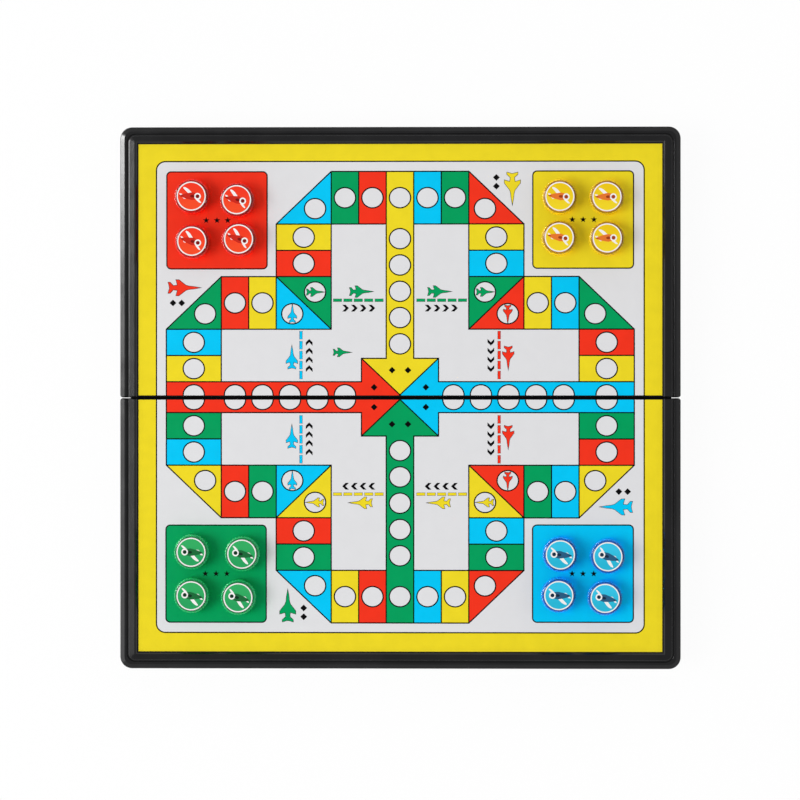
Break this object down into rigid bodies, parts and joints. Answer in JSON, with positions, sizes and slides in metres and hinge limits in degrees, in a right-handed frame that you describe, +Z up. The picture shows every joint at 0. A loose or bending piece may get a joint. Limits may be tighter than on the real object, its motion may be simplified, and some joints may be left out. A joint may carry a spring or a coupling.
{
  "type": "folding ludo board box",
  "caption": "Folding board game box: two hinged half shells with a printed, steel-backed track on the outside, storage inside and magnetic round pieces.",
  "frame": {"origin": "on the resting plane, under the middle of the fold", "axes": "+X along the fold, +Y towards the half with the hinge pins, +Z up out of the play field"},
  "size_m": [0.25, 0.2416, 0.0263],
  "materials": {
    "shell_plastic": "satin gloss black",
    "sheet_steel": "thin rolled sheet",
    "printed_sheet": "printed film, satin laminate",
    "pin_steel": "drawn wire",
    "ferrite": "sintered ferrite, dull",
    "red_clear_plastic": "clear tinted, moulded flutes",
    "red_label_print": "printed paper disc under film",
    "yellow_clear_plastic": "clear tinted, moulded flutes",
    "yellow_label_print": "printed paper disc under film",
    "green_clear_plastic": "clear tinted, moulded flutes",
    "green_label_print": "printed paper disc under film",
    "blue_clear_plastic": "clear tinted, moulded flutes",
    "blue_label_print": "printed paper disc under film"
  },
  "bodies": {
    "rear_half": {"shell_rear": "shell_plastic", "steel_rear": "sheet_steel", "print_rear": "printed_sheet", "hinge_pin_left": "pin_steel", "hinge_pin_right": "pin_steel"},
    "front_half": {"shell_front": "shell_plastic", "steel_front": "sheet_steel", "print_front": "printed_sheet"},
    "piece_red_1": {"red_1_body": "red_clear_plastic", "red_1_label": "red_label_print", "red_1_magnet": "ferrite"},
    "piece_red_2": {"red_2_body": "red_clear_plastic", "red_2_label": "red_label_print", "red_2_magnet": "ferrite"},
    "piece_red_3": {"red_3_body": "red_clear_plastic", "red_3_label": "red_label_print", "red_3_magnet": "ferrite"},
    "piece_red_4": {"red_4_body": "red_clear_plastic", "red_4_label": "red_label_print", "red_4_magnet": "ferrite"},
    "piece_yellow_1": {"yellow_1_body": "yellow_clear_plastic", "yellow_1_label": "yellow_label_print", "yellow_1_magnet": "ferrite"},
    "piece_yellow_2": {"yellow_2_body": "yellow_clear_plastic", "yellow_2_label": "yellow_label_print", "yellow_2_magnet": "ferrite"},
    "piece_yellow_3": {"yellow_3_body": "yellow_clear_plastic", "yellow_3_label": "yellow_label_print", "yellow_3_magnet": "ferrite"},
    "piece_yellow_4": {"yellow_4_body": "yellow_clear_plastic", "yellow_4_label": "yellow_label_print", "yellow_4_magnet": "ferrite"},
    "piece_green_1": {"green_1_body": "green_clear_plastic", "green_1_label": "green_label_print", "green_1_magnet": "ferrite"},
    "piece_green_2": {"green_2_body": "green_clear_plastic", "green_2_label": "green_label_print", "green_2_magnet": "ferrite"},
    "piece_green_3": {"green_3_body": "green_clear_plastic", "green_3_label": "green_label_print", "green_3_magnet": "ferrite"},
    "piece_green_4": {"green_4_body": "green_clear_plastic", "green_4_label": "green_label_print", "green_4_magnet": "ferrite"},
    "piece_blue_1": {"blue_1_body": "blue_clear_plastic", "blue_1_label": "blue_label_print", "blue_1_magnet": "ferrite"},
    "piece_blue_2": {"blue_2_body": "blue_clear_plastic", "blue_2_label": "blue_label_print", "blue_2_magnet": "ferrite"},
    "piece_blue_3": {"blue_3_body": "blue_clear_plastic", "blue_3_label": "blue_label_print", "blue_3_magnet": "ferrite"},
    "piece_blue_4": {"blue_4_body": "blue_clear_plastic", "blue_4_label": "blue_label_print", "blue_4_magnet": "ferrite"}
  },
  "joints": [
    {"name": "fold", "type": "hinge", "parent": "rear_half", "child": "front_half", "pos_m": [0, 0, 0.002], "axis": [1, 0, 0], "range_deg": [0, 180]},
    {"name": "lift_red_1", "type": "slide", "parent": "rear_half", "child": "piece_red_1", "axis": [0, 0, 1], "range_m": [0, 0.03]},
    {"name": "lift_red_2", "type": "slide", "parent": "rear_half", "child": "piece_red_2", "axis": [0, 0, 1], "range_m": [0, 0.03]},
    {"name": "lift_red_3", "type": "slide", "parent": "rear_half", "child": "piece_red_3", "axis": [0, 0, 1], "range_m": [0, 0.03]},
    {"name": "lift_red_4", "type": "slide", "parent": "rear_half", "child": "piece_red_4", "axis": [0, 0, 1], "range_m": [0, 0.03]},
    {"name": "lift_yellow_1", "type": "slide", "parent": "rear_half", "child": "piece_yellow_1", "axis": [0, 0, 1], "range_m": [0, 0.03]},
    {"name": "lift_yellow_2", "type": "slide", "parent": "rear_half", "child": "piece_yellow_2", "axis": [0, 0, 1], "range_m": [0, 0.03]},
    {"name": "lift_yellow_3", "type": "slide", "parent": "rear_half", "child": "piece_yellow_3", "axis": [0, 0, 1], "range_m": [0, 0.03]},
    {"name": "lift_yellow_4", "type": "slide", "parent": "rear_half", "child": "piece_yellow_4", "axis": [0, 0, 1], "range_m": [0, 0.03]},
    {"name": "lift_green_1", "type": "slide", "parent": "front_half", "child": "piece_green_1", "axis": [0, 0, 1], "range_m": [0, 0.03]},
    {"name": "lift_green_2", "type": "slide", "parent": "front_half", "child": "piece_green_2", "axis": [0, 0, 1], "range_m": [0, 0.03]},
    {"name": "lift_green_3", "type": "slide", "parent": "front_half", "child": "piece_green_3", "axis": [0, 0, 1], "range_m": [0, 0.03]},
    {"name": "lift_green_4", "type": "slide", "parent": "front_half", "child": "piece_green_4", "axis": [0, 0, 1], "range_m": [0, 0.03]},
    {"name": "lift_blue_1", "type": "slide", "parent": "front_half", "child": "piece_blue_1", "axis": [0, 0, 1], "range_m": [0, 0.03]},
    {"name": "lift_blue_2", "type": "slide", "parent": "front_half", "child": "piece_blue_2", "axis": [0, 0, 1], "range_m": [0, 0.03]},
    {"name": "lift_blue_3", "type": "slide", "parent": "front_half", "child": "piece_blue_3", "axis": [0, 0, 1], "range_m": [0, 0.03]},
    {"name": "lift_blue_4", "type": "slide", "parent": "front_half", "child": "piece_blue_4", "axis": [0, 0, 1], "range_m": [0, 0.03]}
  ]
}
